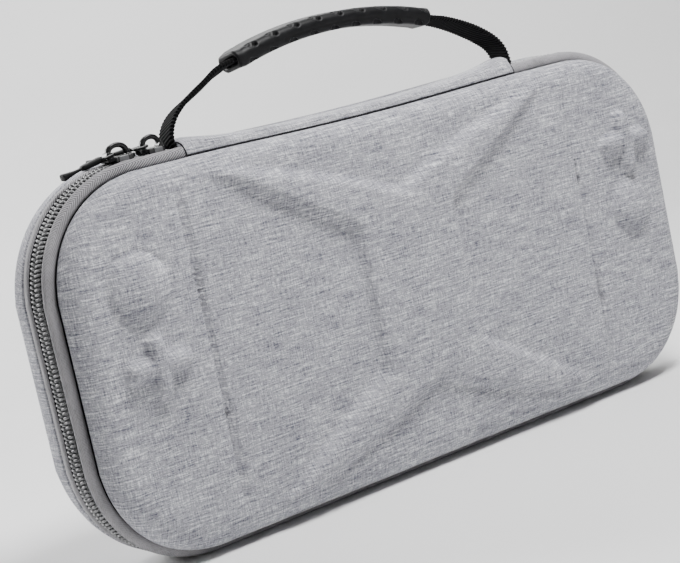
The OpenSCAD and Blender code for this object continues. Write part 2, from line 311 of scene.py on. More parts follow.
# ---------------------------------------------------------------- mesh helpers
def make(name, P, F, mats, uv=None, face_mat=None, body=None, nodes=(), dip=True, merge=0.0, normals=True, sharp=False):
    P = np.asarray(P, float)
    if dip:
        P = sag(P)
    me = bpy.data.meshes.new(name)
    me.from_pydata(to_world(P).tolist(), [], [list(map(int, f)) for f in F])
    me.update()
    if uv is not None:
        uv = np.asarray(uv, float) * 0.1
        layer = me.uv_layers.new(name="weave")
        idx = np.zeros(len(me.loops), np.int32)
        me.loops.foreach_get("vertex_index", idx)
        layer.data.foreach_set("uv", uv[idx].astype(np.float32).ravel())
    for m in mats:
        me.materials.append(m)
    if face_mat is not None:
        me.polygons.foreach_set("material_index", np.asarray(face_mat, np.int32))
    bm = bmesh.new()
    bm.from_mesh(me)
    if merge:
        bmesh.ops.remove_doubles(bm, verts=bm.verts, dist=merge * MM)
        bmesh.ops.dissolve_degenerate(bm, edges=bm.edges, dist=1e-7)
    if normals:
        bmesh.ops.recalc_face_normals(bm, faces=bm.faces)
    if sharp:
        for f in bm.faces:
            if len(f.verts) > 4:
                for e in f.edges:
                    e.smooth = False
    bm.to_mesh(me)
    bm.free()
    me.polygons.foreach_set("use_smooth", np.ones(len(me.polygons), bool))
    o = bpy.data.objects.new(name, me)
    bpy.context.scene.collection.objects.link(o)
    if body:
        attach(o, body)
    if nodes:
        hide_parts(*nodes)
    return o


def grid_faces(rows, cols, close_cols=False, close_rows=False):
    F = []
    rr = rows if close_rows else rows - 1
    cc = cols if close_cols else cols - 1
    for i in range(rr):
        a, b = i * cols, ((i + 1) % rows) * cols
        for j in range(cc):
            k = (j + 1) % cols
            F.append((a + j, a + k, b + k, b + j))
    return F


LEN = 4 * HX + 4 * HZ + 2 * math.pi * R


def rim(s):
    """Skeleton point and outward direction of the outline at the distance s from its upper middle, going left."""
    s = np.asarray(s, float) % LEN
    C = np.zeros((len(s), 2))
    N = np.zeros((len(s), 2))
    q = math.pi / 2 * R
    marks = np.cumsum([HX, q, 2 * HZ, q, 2 * HX, q, 2 * HZ, q, HX])
    lo = 0.0
    for i, hi in enumerate(marks):
        k = (s >= lo) & (s <= hi + 1e-9)
        t = s[k] - lo
        z = np.zeros_like(t)
        if i == 0:
            C[k] = np.stack([-t, z + ZC + HZ], 1); N[k] = (0, 1)
        elif i == 1:
            a = math.pi / 2 + t / R; C[k] = (-HX, ZC + HZ); N[k] = np.stack([np.cos(a), np.sin(a)], 1)
        elif i == 2:
            C[k] = np.stack([z - HX, ZC + HZ - t], 1); N[k] = (-1, 0)
        elif i == 3:
            a = math.pi + t / R; C[k] = (-HX, ZC - HZ); N[k] = np.stack([np.cos(a), np.sin(a)], 1)
        elif i == 4:
            C[k] = np.stack([-HX + t, z + ZC - HZ], 1); N[k] = (0, -1)
        elif i == 5:
            a = 1.5 * math.pi + t / R; C[k] = (HX, ZC - HZ); N[k] = np.stack([np.cos(a), np.sin(a)], 1)
        elif i == 6:
            C[k] = np.stack([z + HX, ZC - HZ + t], 1); N[k] = (1, 0)
        elif i == 7:
            a = t / R; C[k] = (HX, ZC + HZ); N[k] = np.stack([np.cos(a), np.sin(a)], 1)
        else:
            C[k] = np.stack([HX - t, z + ZC + HZ], 1); N[k] = (0, 1)
        lo = hi
    return C, N


def stations(s0, s1, step):
    """Distances from s0 to s1 with every corner's start and end among them."""
    q = math.pi / 2 * R
    marks = [m for m in np.cumsum([0, HX, q, 2 * HZ, q, 2 * HX, q, 2 * HZ, q, HX]) if s0 < m < s1]
    pts = [s0] + marks + [s1]
    out = []
    for a, b in zip(pts[:-1], pts[1:]):
        n = max(1, int(round((b - a) / step)))
        out += list(np.linspace(a, b, n, endpoint=False))
    return np.array(out + [s1])


def rounded_path(points, steps=6):
    """Catmull-Rom curve through 2-D or 3-D points."""
    P = np.asarray(points, float)
    P = np.vstack([2 * P[0] - P[1], P, 2 * P[-1] - P[-2]])
    out = []
    for i in range(1, len(P) - 2):
        for t in np.linspace(0, 1, steps, endpoint=False):
            a, b, c, e = P[i - 1], P[i], P[i + 1], P[i + 2]
            out.append(0.5 * (2 * b + (c - a) * t + (2 * a - 5 * b + 4 * c - e) * t * t + (3 * b - a - 3 * c + e) * t ** 3))
    out.append(P[-2])
    return np.array(out)


def smooth_noise(seed, n, span):
    """A closed, gentle random wave of n points, for small unevenness."""
    rng = np.random.RandomState(seed)
    k = np.arange(1, span + 1)
    a = rng.normal(size=span) / k ** 0.7
    p = rng.uniform(0, 2 * math.pi, span)
    t = np.linspace(0, 2 * math.pi, n, endpoint=False)
    w = sum(a[i] * np.cos(k[i] * t + p[i]) for i in range(span))
    return w / np.abs(w).max()


# ---------------------------------------------------------------- relief of the front
ARM = np.array([[0, 33.0], [10.5, 37.6], [20.8, 41.9], [36.8, 47.2], [54, 52.0], [70, 57.5], [70, 53.5], [60, 47.5],
                [50.3, 41.8], [36.4, 33.4], [25.5, 27.2], [21.6, 24.2], [21.2, 22], [21.2, 0], [0, 0]])


def polygon_distance(X, Z, poly):
    """Signed distance to a polygon, positive inside."""
    best = np.full(X.shape, 1e9)
    inside = np.zeros(X.shape, bool)
    n = len(poly)
    for i in range(n):
        (x0, z0), (x1, z1) = poly[i], poly[(i + 1) % n]
        ex, ez = x1 - x0, z1 - z0
        t = np.clip(((X - x0) * ex + (Z - z0) * ez) / (ex * ex + ez * ez), 0, 1)
        dd = np.hypot(X - x0 - t * ex, Z - z0 - t * ez)
        if not ((x0 == 0 and x1 == 0) or (z0 == 0 and z1 == 0)):
            best = np.minimum(best, dd)
        cross = ((z0 > Z) != (z1 > Z)) & (X < (x1 - x0) * (Z - z0) / (z1 - z0 + 1e-12) + x0)
        inside ^= cross
    return np.where(inside, best, -best)


def relief(x, z):
    h = -0.9 * smooth(92, 126, z)
    X, Z = np.abs(x - 1.0), np.abs(z - 64.0)
    sd = polygon_distance(X, Z, ARM)
    arms = smooth(-1.6, 2.7, sd)
    h += 3.0 * arms * (1 - 0.50 * smooth(48, 70, X))
    h += 0.25 * smooth(0, 9, sd)
    for (dx, dz, rx, rz) in ((-103.0, 89.6, 10.9, 11.6), (104.6, 67.2, 9.6, 10.6)):
        r2 = ((x - dx) / rx) ** 2 + ((z - dz) / rz) ** 2
        dome = np.clip(1 - r2, 0, 1) ** 0.72
        h += 3.5 * dome
        h -= 0.25 * np.exp(-((np.sqrt(r2) - 1.03) / 0.07) ** 2)
    for (px, pz, ax, az_, w_) in ((-102.4, 65.2, 11.6, 9.8, 3.1), (106.2, 91.2, 11.8, 11.4, 3.3)):
        a, b = np.abs(x - px), np.abs(z - pz)
        bar1 = np.minimum(ax - a, w_ - b)
        bar2 = np.minimum(w_ - a, az_ - b)
        s1 = np.maximum(bar1, bar2)
        c1 = np.hypot(np.clip(a - (ax - w_), 0, None), b)
        c2 = np.hypot(a, np.clip(b - (az_ - w_), 0, None))
        s1 = np.minimum(s1, np.maximum(w_ - c1, w_ - c2))
        h += 3.8 * smooth(-1.0, 1.9, s1)
    for s_, g in ((-1, -82.0), (1, 82.0)):
        k = smooth(9, 20, z) * smooth(118, 107, z)
        h -= 2.1 * np.exp(-((x - g) / 0.78) ** 2) * k
        h += 0.5 * smooth(0, 3.0, g - x) * k * smooth(26, 8, g - x)
    return h


def build_shell(name, sign, u_rim, face_v, edge, lip, node, body, face_step, relief_fn, seed):
    """One moulded half: flat face, rounded edge, wall, turned rim, and the lined inside."""
    S = stations(0, LEN, 1.55)[:-1]
    C, N = rim(S)
    n = len(S)
    rows, uvs, mats = [], [], []
    x0 = C + N * R

    def ring(u, v, flat=None, mat=0):
        P = C + N * (R + u)
        rows.append(np.stack([P[:, 0], np.full(n, sign * v), P[:, 1]], 1))
        Q = C + N * (R + (u if flat is None else flat))
        uvs.append(Q)
        mats.append(mat)

    def core(t, v, mat=0):
        P = np.stack([C[:, 0] * (HX - HZ * t) / HX, ZC + (C[:, 1] - ZC) * (1 - t)], 1)
        rows.append(np.stack([P[:, 0], np.full(n, sign * v), P[:, 1]], 1))
        uvs.append(P)
        mats.append(mat)

    for t in np.linspace(1, 0, max(2, int(27 / face_step)), endpoint=False):
        core(t, face_v)
    edge_v = edge if sign < 0 else face_v - GUSSET - lip - 1.5
    u_face = u_rim - (edge if sign < 0 else 8.6)
    for u in np.linspace(-R, u_face, int((R + u_face) / face_step), endpoint=False):
        ring(u + 1e-4, face_v)
    for a in np.linspace(90, 0, 13):
        a_ = math.radians(a)
        ring(u_face + (u_rim - u_face) * math.cos(a_), face_v - edge_v + edge_v * math.sin(a_), u_face + edge_v * (math.pi / 2 - a_))
    flat0 = u_face + edge_v * math.pi / 2
    wall_v = face_v - edge_v
    v_lip = GUSSET + lip
    if sign < 0:
        for v in np.linspace(wall_v, v_lip + 0.7, max(2, int((wall_v - v_lip) / 1.6)) + 1)[1:]:
            ring(u_rim, v, flat0 + wall_v - v)
    lr = 1.5 if sign > 0 else 0.7
    # the turned lip: its last stretch and the step under it are painted near-black, painted shade in the groove between
    # the lid and the welt together with the dark stitching there
    for a in (18, 36, 54, 72, 90):
        a_ = math.radians(a)
        ring(u_rim - lr + lr * math.cos(a_), v_lip + lr - lr * math.sin(a_), flat0 + max(0, wall_v - v_lip) + lr * a_, 2 if a > 80 and sign > 0 else 0)
    if sign > 0:
        ring(u_rim - 2.2, v_lip - 0.1, flat0 + 4, 2)
        ring(u_rim - 2.4, GUSSET + 0.15, flat0 + 5, 1)
        v_lip = GUSSET + 0.1
    ring(u_rim - WALL + 0.6, v_lip, flat0 + 5.5, 1)
    # inside
    ui, vi, ei = u_rim - WALL, face_v - WALL, (edge if sign < 0 else 8.6) - WALL
    ring(ui, v_lip + 0.5, None, 1)
    if vi - ei > v_lip + 1.0:
        ring(ui, (vi - ei + v_lip) / 2, None, 1)
    for a in np.linspace(0, 90, 6):
        a_ = math.radians(a)
        ring(ui - ei + ei * math.cos(a_), vi - ei + ei * math.sin(a_), None, 1)
    for u in np.linspace(ui - ei, -R, 8)[1:]:
        ring(u + 1e-4, vi, None, 1)
    for t in np.linspace(0, 1, 9)[1:]:
        core(t, vi, 1)
    P = np.array(rows)
    k_out = sum(1 for m in mats if m != 1)
    if relief_fn is not None:
        for i in range(k_out):
            x, z = P[i, :, 0], P[i, :, 2]
            u_here = (np.hypot(x - C[:, 0], z - C[:, 1]) - R) if i > 0 else None
            inset = np.minimum(W / 2 - np.abs(x), H / 2 - np.abs(z - ZC))
            corner_x, corner_z = np.abs(x) > HX, np.abs(z - ZC) > HZ
            both = corner_x & corner_z
            inset = np.where(both, R - np.hypot(np.abs(x) - HX, np.abs(z - ZC) - HZ), inset)
            wgt = smooth(-u_face - 7.5, -u_face + 0.5, inset)
            P[i, :, 1] += sign * relief_fn(x, z) * wgt
    # hand-made unevenness: the faces are never quite flat
    wob = smooth_noise(seed, n, 9)
    for i in range(k_out):
        x, z = P[i, :, 0], P[i, :, 2]
        P[i, :, 1] += sign * (0.22 * np.sin(x / 31.0 + seed) * np.cos(z / 23.0 + 1.3 * seed) + 0.10 * np.sin(x / 11.0 + z / 14.0)) \
            * smooth(-u_face - 8, -u_face + 4, np.minimum(W / 2 - np.abs(x), H / 2 - np.abs(z - ZC)))
    if sign < 0:
        # the blank is drawn in at the corners towards its back
        diag = 2 * np.abs(N[:, 0] * N[:, 1])
        w_ = np.clip((np.abs(P[:, :, 1]) - 8) / (face_v - 8), 0, 1)
        P[:, :, 0] -= 2.0 * diag * N[:, 0] * w_
        P[:, :, 2] -= 2.0 * diag * N[:, 1] * w_
    if sign > 0:
        # the lid hangs a little lower than its rim
        P[:, :, 2] -= 0.9 * smooth(34, 0, P[:, :, 2])
    V = P.reshape(-1, 3)
    U = np.array(uvs).reshape(-1, 2)
    F = grid_faces(len(rows), n, close_cols=True)
    fm = []
    for i in range(len(rows) - 1):
        fm += [max(mats[i], mats[i + 1])] * n
    return make(name, V, F, [M_SHELL, M_LINING, M_SEAM_AND_SHADE], U, fm, body, (node,), merge=0.004)


front = build_shell("front_shell_skin", 1, -3.5, FRONT_V, 6.6, 0.95, "front_shell", "lid", 0.85, relief, 3)
back = build_shell("back_shell_skin", -1, -0.02, BACK_V - 0.3, 12.0, 0.12, "back_shell", "base", 2.4, None, 5)


# ---------------------------------------------------------------- zip tapes
def sweep(name, prof, s0, s1, step, mats, seg_mat, body, nodes, wave=0.0, seed=1):
    """Closed profile of (u, v) points swept along the outline between the distances s0 and s1, with closed ends."""
    S = stations(s0, s1, step)
    C, N = rim(S)
    prof = np.asarray(prof, float)
    m = len(prof)
    across = np.concatenate([[0], np.cumsum(np.hypot(*np.diff(prof, axis=0).T))])
    V = np.zeros((len(S), m, 3))
    U = np.zeros((len(S), m, 2))
    w = np.sin(S / 9.0 + seed) * 0.5 + np.sin(S / 23.0 + 2 * seed) * 0.5
    for j, (u, v) in enumerate(prof):
        uu = u + (wave * w if u > -2.2 else 0)
        P = C + N * (R + uu)[:, None] if isinstance(uu, np.ndarray) else C + N * (R + uu)
        V[:, j, 0], V[:, j, 1], V[:, j, 2] = P[:, 0], v, P[:, 1]
        U[:, j, 0], U[:, j, 1] = S, across[j]
    F = grid_faces(len(S), m, close_cols=True)
    fm = []
    for i in range(len(S) - 1):
        fm += list(seg_mat)
    F.append(tuple(range(m)))
    F.append(tuple((len(S) - 1) * m + j for j in range(m)))
    fm += [seg_mat[0], seg_mat[0]]
    return make(name, V.reshape(-1, 3), F, mats, U.reshape(-1, 2), fm, body, nodes, sharp=True)


def with_rounds(points, marks):
    """Copies a profile's points and carries each stretch's material mark."""
    pts, mk = [], []
    P = np.asarray(points, float)
    n = len(P)
    for i in range(n):
        pts.append(P[i])
        mk.append(marks[i])
    return np.array(pts), mk


arc = lambda cu, cv, r, a0, a1, k: [(cu + r * math.cos(math.radians(a)), cv + r * math.sin(math.radians(a))) for a in np.linspace(a0, a1, k)]
welt = [(-3.5, 3.3), (-2.75, 3.35), (-2.65, 5.0), (-1.5, 5.35), (-0.85, 5.48), (-0.4, 5.66), (-0.12, 5.98), (-0.02, 6.3)]
# mark 1 is painted shade: the welt's inner stretches and its last stretch against the lid's lip are near-black, where
# the crease is in shade
welt_marks = [1, 1, 1, 1, 0, 0, 0, 0]
ring_pts = [(-0.14, 6.7), (-0.42, 7.1), (-0.85, 7.45), (-1.4, 7.71), (-2.05, 7.87), (-3.0, 7.9), (-3.6, 7.7), (-3.95, 7.3)]
welt += ring_pts
welt_marks += [0] * 7 + [1]
welt += [(-5.4, 7.0), (-5.4, 6.4), (-3.4, 6.4), (-2.4, 6.2), (-1.9, 5.95), (-2.3, 5.7), (-3.5, 5.4)]
welt_marks += [1] * 7
back_tape = [(-3.5, -3.3), (-2.75, -3.35), (-2.65, -3.9), (-1.4, -4.0), (-0.75, -4.1), (-0.35, -4.35), (-0.14, -4.8), (-0.1, -5.4), (-0.12, -6.3), (-0.28, -6.95), (-0.9, -7.3), (-2.0, -7.4),
             (-2.2, -6.9), (-1.6, -6.0), (-1.6, -4.9), (-3.5, -4.6)]
# mark 1 is painted shade: the back tape's inner stretches, beside the coil and under the back shell's rim, are
# near-black
back_marks = [1, 1, 1, 1, 0, 0, 0, 0, 0, 0, 1, 1, 1, 1, 1, 1]
HALF = LEN / 2


def fold_blend(o):
    """Bakes the piece's placement into its mesh; the piece is attached to no body."""
    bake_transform(o)


END = 112.0


def half_zip(tag, prof, marks, body, node, under):
    for part, s0, s1 in (("left", ZIP_X - under, END), ("run", END, LEN - END), ("right", LEN - END, LEN - ZIP_X + under)):
        o = sweep(f"{tag}_{part}", prof, s0, s1, 1.5, [M_TAPE, M_DARK], marks, body if part == "run" else None, (node,), 0.05)
        if part != "run":
            fold_blend(o)


half_zip("front_tape", welt, welt_marks, "lid", "front_zip_tape", 5.5)
half_zip("back_tape", back_tape, back_marks, "base", "back_zip_tape", 0.0)


def tape_gusset(side):
    """Fold of tape inside the welt, between the panel's end and the lid's rim."""
    V = []
    for t in np.linspace(0, 1, 15):
        x = side * (70.6 + 20.0 * t)
        top = -1.3 - 4.1 * float(smooth(0.35, 1.0, t))
        for k in np.linspace(0, 1, 7):
            V.append((x, 6.55 + 0.3 * k, H + top + (-5.75 - top) * k))
        for k in np.linspace(1, 0, 7):
            V.append((x, 6.95 + 0.3 * k, H + top + (-5.75 - top) * k))
    V = np.array(V)
    F = grid_faces(15, 14, close_cols=True)
    F.append(tuple(range(14)))
    F.append(tuple(14 * 14 + j for j in range(14)))
    o = make("front_tape_gusset_" + ("left" if side < 0 else "right"), V, F, [M_TAPE], V[:, [0, 2]], None, None, ("front_zip_tape",))
    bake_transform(o)


tape_gusset(-1)
tape_gusset(1)


# ---------------------------------------------------------------- chain: two nylon coils whose turns mesh
def coil(tag, side, s0, s1, nodes, pitch=1.5, ride=None):
    turns = (s1 - s0) / pitch
    per, ring_n = 12, 5
    n = int(turns * per) + 1
    s = np.linspace(s0, s1, n)
    a = 2 * math.pi * (s - ZIP_X) / pitch + (math.pi if side < 0 else 0)
    C, N = rim(s)
    vc, uc, rv, ru, wr = 1.52 * side - 0.15, -1.22, 1.20, 0.70, 0.48
    v = vc + rv * np.cos(a) * side
    u = uc + ru * np.sin(a)
    P = C + N * (R + u)[:, None]
    line = np.stack([P[:, 0], v, P[:, 1]], 1)
    T = np.gradient(line, axis=0)
    T /= np.linalg.norm(T, axis=1)[:, None]
    # direction from the coil's axis outwards
    A = C + N * (R + uc)
    axis_pt = np.stack([A[:, 0], np.full(n, vc), A[:, 1]], 1)
    B = line - axis_pt
    B -= T * np.sum(B * T, 1)[:, None]
    B /= np.linalg.norm(B, axis=1)[:, None] + 1e-9
    D = np.cross(T, B)
    V = np.zeros((n, ring_n, 3))
    for j in range(ring_n):
        b = 2 * math.pi * j / ring_n
        V[:, j] = line + wr * (math.cos(b) * B + math.sin(b) * D)
    F = grid_faces(n, ring_n, close_cols=True)
    F.append(tuple(range(ring_n)))
    F.append(tuple((n - 1) * ring_n + j for j in range(ring_n)))
    o = make(tag, V.reshape(-1, 3), F, [M_COIL], None, None, ride, nodes)
    if not ride:
        fold_blend(o)
    return o


for tag, side, body, node in (("front_coil", 1, "lid", "front_zip_coil"), ("back_coil", -1, "base", "back_zip_coil")):
    coil(tag + "_left", side, ZIP_X, END, (node,))
    coil(tag + "_run_left", side, END, HALF, (node,), ride=body)
    coil(tag + "_run_right", side, HALF, LEN - END, (node,), ride=body)
    coil(tag + "_right", side, LEN - END, LEN - ZIP_X, (node,))


# ---------------------------------------------------------------- hinge panel
def panel_height(x):
    left = np.interp(np.abs(x), [0, 25, 40, 50, 57, 63, 67, 69.5, 72], [-0.35, -0.3, 0.05, 0.55, 1.15, 2.0, 2.55, 2.6, 2.0])
    right = np.interp(np.abs(x), [0, 25, 40, 50, 57, 63, 67, 69.5, 72], [-0.35, -0.3, 0.05, 0.6, 1.25, 2.3, 3.1, 3.2, 2.3])
    return np.where(x < 0, left, right)


def panel_half(name, front_side):
    if front_side:
        top = [(0.0, 0.0), (1.4, 0.0), (2.8, 0.02), (4.4, 0.05), (5.7, -0.05), (6.7, -0.38), (7.45, -0.95), (8.0, -1.75), (8.25, -2.85), (8.15, -3.6), (7.8, -4.6)]
        under = [(5.6, -4.6), (5.5, -3.0), (4.9, -2.0), (3.6, -1.5), (1.8, -1.45), (0.0, -1.45)]
    else:
        top = [(0.0, 0.0), (-1.6, 0.0), (-3.2, 0.0), (-4.8, 0.0), (-6.0, -0.06), (-6.9, -0.16), (-7.35, -0.5)]
        under = [(-7.35, -1.4), (-5.0, -1.45), (-2.5, -1.45), (0.0, -1.45)]
    xs = np.concatenate([np.linspace(-PANEL_X, -60, 14), np.linspace(-58.5, 58.5, 79), np.linspace(60, PANEL_X, 14)])
    prof = top + under
    m, k = len(prof), len(top)
    cl = [0.0]
    for a, b in zip(prof[:-1], prof[1:]):
        cl.append(cl[-1] + math.hypot(b[0] - a[0], b[1] - a[1]))
    V = np.zeros((len(xs), m, 3))
    U = np.zeros((len(xs), m, 2))
    lift = panel_height(xs)
    for j, (v, u) in enumerate(prof):
        shape = np.clip(1 - (abs(v + 0.1) / 7.9) ** 2.4, 0, 1)
        x = xs.copy()
        # the hem is cut on a curve at the ends: it reaches furthest where the handle is sewn in
        cut = np.where(x < 0, 0.9, 3.2) * smooth(1.0, 7.0, max(v, 0)) if front_side else 0.8 * smooth(2, 7, -v)
        x = x * (1 - cut / PANEL_X * smooth(50, PANEL_X, np.abs(x)))
        V[:, j, 0] = x
        V[:, j, 1] = v
        V[:, j, 2] = H + u + (lift * shape if j < k else np.maximum(lift * shape - 0.4, 0) * 0.9)
        U[:, j, 0] = x
        U[:, j, 1] = cl[j] if j < k else cl[k - 1] + 2 + (cl[j] - cl[k])
        U[:, j, 1] *= -1 if front_side else 1
        U[:, j, 1] += 40
    V = V.reshape(-1, 3)
    F = grid_faces(len(xs), m)
    F.append(tuple(range(m)))
    F.append(tuple((len(xs) - 1) * m + j for j in range(m)))
    # the front half's curled hem, from its outer edge round to its underside, is painted near-black: painted shade in
    # the crease between the panel and the lid
    fm = ([1 if front_side and 7 < j < k + 1 else 0 for j in range(m - 1)]) * (len(xs) - 1) + [0, 0]
    o = make(name, V, F, [M_PANEL, M_SEAM_AND_SHADE], U.reshape(-1, 2), fm, None, ("hinge_panel",))
    if front_side:
        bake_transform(o)
    else:
        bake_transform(o)
    return o


panel_half("hinge_panel_front", True)
panel_half("hinge_panel_back", False)


def end_seam(name, side, rr=0.26, mat=None):
    """Dark seam along the curved end of the panel: a thin near-black tube that stands for the seam thread and for the
    painted shadow line in the crease there.
    """
    path = []
    for v, u in [(1.8, 0.0), (2.8, 0.02), (4.4, 0.05), (5.7, -0.05), (6.7, -0.38), (7.45, -0.95), (8.0, -1.75), (8.25, -2.7), (8.15, -3.5)]:
        cut = (0.9 if side < 0 else 3.2) * smooth(1.0, 7.0, v)
        lift = float(panel_height(np.array([side * PANEL_X]))[0]) * max(0, 1 - (abs(v + 0.1) / 7.9) ** 2.4)
        path.append((side * (PANEL_X - cut + 0.1), v, H + u + lift - 0.12))
    L = rounded_path(path, 6)
    T = np.gradient(L, axis=0)
    T /= np.linalg.norm(T, axis=1)[:, None]
    A = np.cross(T, (1.0, 0, 0))
    A /= np.linalg.norm(A, axis=1)[:, None]
    B = np.cross(T, A)
    k = 8
    V = np.array([[L[i] + rr * (math.cos(2 * math.pi * j / k) * A[i] + math.sin(2 * math.pi * j / k) * B[i]) for j in range(k)] for i in range(len(L))])
    F = grid_faces(len(L), k, close_cols=True)
    F.append(tuple(range(k)))
    F.append(tuple((len(L) - 1) * k + j for j in range(k)))
    o = make(name, V.reshape(-1, 3), F, [mat or M_SEAM_AND_SHADE], None, None, None, ())
    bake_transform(o)


# the right end's tube uses the tape's painted shade material
end_seam("panel_end_seam_left", -1)
end_seam("panel_end_seam_right", 1, 0.16, M_DARK)


# ---------------------------------------------------------------- handle
ARCH_R, ARCH_CZ = 139.0, 17.7
strap_ctrl = [(-70.9, 123.6), (-71.9, 127.4), (-72.2, 130.4), (-71.0, 133.8), (-68.4, 137.1), (-64.6, 139.9), (-59.9, 142.3), (-54.6, 144.9), (-49.0, 147.9)]
for x_ in np.linspace(-44, 44, 15):
    strap_ctrl.append((x_, ARCH_CZ + math.sqrt(ARCH_R ** 2 - x_ ** 2)))
strap_ctrl += [(49.0, 147.9), (55.0, 145.3), (60.4, 142.4), (64.8, 139.5), (68.2, 136.6), (70.2, 133.4), (70.9, 129.5), (70.9, 123.6)]
strap_line = rounded_path(strap_ctrl, 40)
seg = np.concatenate([[0], np.cumsum(np.linalg.norm(np.diff(strap_line, axis=0), axis=1))])
STRAP_LEN = seg[-1]


def strap_at(s):
    x = np.interp(s, seg, strap_line[:, 0])
    z = np.interp(s, seg, strap_line[:, 1])
    e = 0.6
    tx = np.interp(s + e, seg, strap_line[:, 0]) - np.interp(s - e, seg, strap_line[:, 0])
    tz = np.interp(s + e, seg, strap_line[:, 1]) - np.interp(s - e, seg, strap_line[:, 1])
    ln = np.hypot(tx, tz)
    tx, tz = tx / ln, tz / ln
    roll = np.radians(np.interp(x, [-72, -70, -66, -60, -50, -44, -39, 0, 38, 46, 60, 66, 70.5, 71], [3, 4, 7, 13, 16, 11, -6, -8, -6, 3, 9, 8, 3, 2]))
    n = np.stack([-tz, np.zeros_like(tx), tx], 1)
    yb = np.zeros_like(n)
    yb[:, 1] = 1.0
    w = yb * np.cos(roll)[:, None] - n * np.sin(roll)[:, None]
    m = n * np.cos(roll)[:, None] + yb * np.sin(roll)[:, None]
    c = np.stack([x, np.zeros_like(x), z], 1)
    return c, w, m


def lean_back(P):
    """From the arch's own plane (x, y back from the chain's middle, z) to (x, v, z)."""
    y, z = P[:, 1], P[:, 2] - H
    return np.stack([P[:, 0], -(y * math.cos(LEAN) + z * math.sin(LEAN)), H + z * math.cos(LEAN) - y * math.sin(LEAN)], 1)


def band_section(hw, ht, n_top, n_end):
    """Flat band with rounded edges, as (across, thickness) points."""
    pts = [(x, ht) for x in np.linspace(-hw + ht, hw - ht, n_top)]
    pts += [(hw - ht + ht * math.cos(a), ht * math.sin(a)) for a in np.linspace(math.pi / 2, -math.pi / 2, n_end + 2)[1:-1]]
    pts += [(x, -ht) for x in np.linspace(hw - ht, -hw + ht, n_top)]
    pts += [(-hw + ht + ht * math.cos(a), ht * math.sin(a)) for a in np.linspace(-math.pi / 2, -1.5 * math.pi, n_end + 2)[1:-1]]
    return np.array(pts)


ss = np.arange(0.3, STRAP_LEN - 0.3, 0.2)
C3, Wv, Mv = strap_at(ss)
sec = band_section(4.7, 0.78, 13, 4)
edge_rib = 0.20
V = np.zeros((len(ss), len(sec), 3))
U = np.zeros((len(ss), len(sec), 2))
for j, (a, t) in enumerate(sec):
    wv = np.sin(2 * math.pi * (ss + 0.30 * a) / 1.2)
    tt = t + np.sign(t) * 0.10 * wv * (abs(t) > 0.2)
    aa = a + np.sign(a) * edge_rib * wv * (abs(a) > 4.0)
    V[:, j] = C3 + Wv * (aa if isinstance(aa, np.ndarray) else np.full(len(ss), aa))[:, None] + Mv * tt[:, None]
    U[:, j, 0], U[:, j, 1] = ss, a + (12 if t < 0 else 0)
F = grid_faces(len(ss), len(sec), close_cols=True)
F.append(tuple(range(len(sec))))
F.append(tuple((len(ss) - 1) * len(sec) + j for j in range(len(sec))))
make("handle_strap", lean_back(V.reshape(-1, 3)), F, [M_WEB], U.reshape(-1, 2), None, "spine", ("handle_webbing",), dip=False)


def round_box(hw, ht, r, n_side, n_side2, n_cor):
    """Rounded rectangle section as (across, thickness) points, evenly spread."""
    pts = []
    for (sx, sy, a0) in ((1, 1, 0), (-1, 1, 90), (-1, -1, 180), (1, -1, 270)):
        cxx, cyy = sx * (hw - r), sy * (ht - r)
        for a in np.linspace(a0, a0 + 90, n_cor):
            pts.append((cxx + r * math.cos(math.radians(a)), cyy + r * math.sin(math.radians(a))))
        nxt = {0: n_side, 90: n_side2, 180: n_side, 270: n_side2}[a0]
        x1, y1 = pts[-1]
        if a0 == 0:
            x2, y2 = -(hw - r), ht
        elif a0 == 90:
            x2, y2 = -hw, -(ht - r)
        elif a0 == 180:
            x2, y2 = hw - r, -ht
        else:
            x2, y2 = hw, ht - r
        for t in np.linspace(0, 1, nxt + 2)[1:-1]:
            pts.append((x1 + (x2 - x1) * t, y1 + (y2 - y1) * t))
    return np.array(pts)


s_left = np.interp(-41.8, strap_line[:, 0], seg)
s_right = np.interp(40.2, strap_line[:, 0], seg)
s_mid = (s_left + s_right) / 2
GW, GT, GR = 6.5, 3.1, 2.8
sec_out = round_box(GW, GT, GR, 26, 4, 9)
sec_lip = round_box(GW - 0.55, GT - 0.55, GR - 0.4, 26, 4, 9)
sec_in = round_box(5.05, 1.15, 0.9, 26, 4, 9)
m = len(sec_out)
per = np.concatenate([[0], np.cumsum(np.hypot(*np.diff(sec_out, axis=0).T))])
PER = per[-1] + float(np.hypot(*(sec_out[0] - sec_out[-1])))
sec_n = np.roll(sec_out, -1, 0) - np.roll(sec_out, 1, 0)
sec_n = np.stack([sec_n[:, 1], -sec_n[:, 0]], 1) / np.linalg.norm(sec_n, axis=1)[:, None]
shoulder = {}
for sa in (1, -1):
    for sb in (1, -1):
        want = np.array([sa * (GW - GR + GR * 0.50), sb * (GT - GR + GR * 0.866)])
        shoulder[(sa, sb)] = per[np.argmin(np.hypot(*(sec_out - want).T))]
rows, Urows = [], []


def grip_row(s, sect):
    c, w_, m_ = strap_at(np.array([s]))
    rows.append(c + w_ * sect[:, :1] + m_ * sect[:, 1:])
    Urows.append(np.stack([np.full(m, s), per], 1))


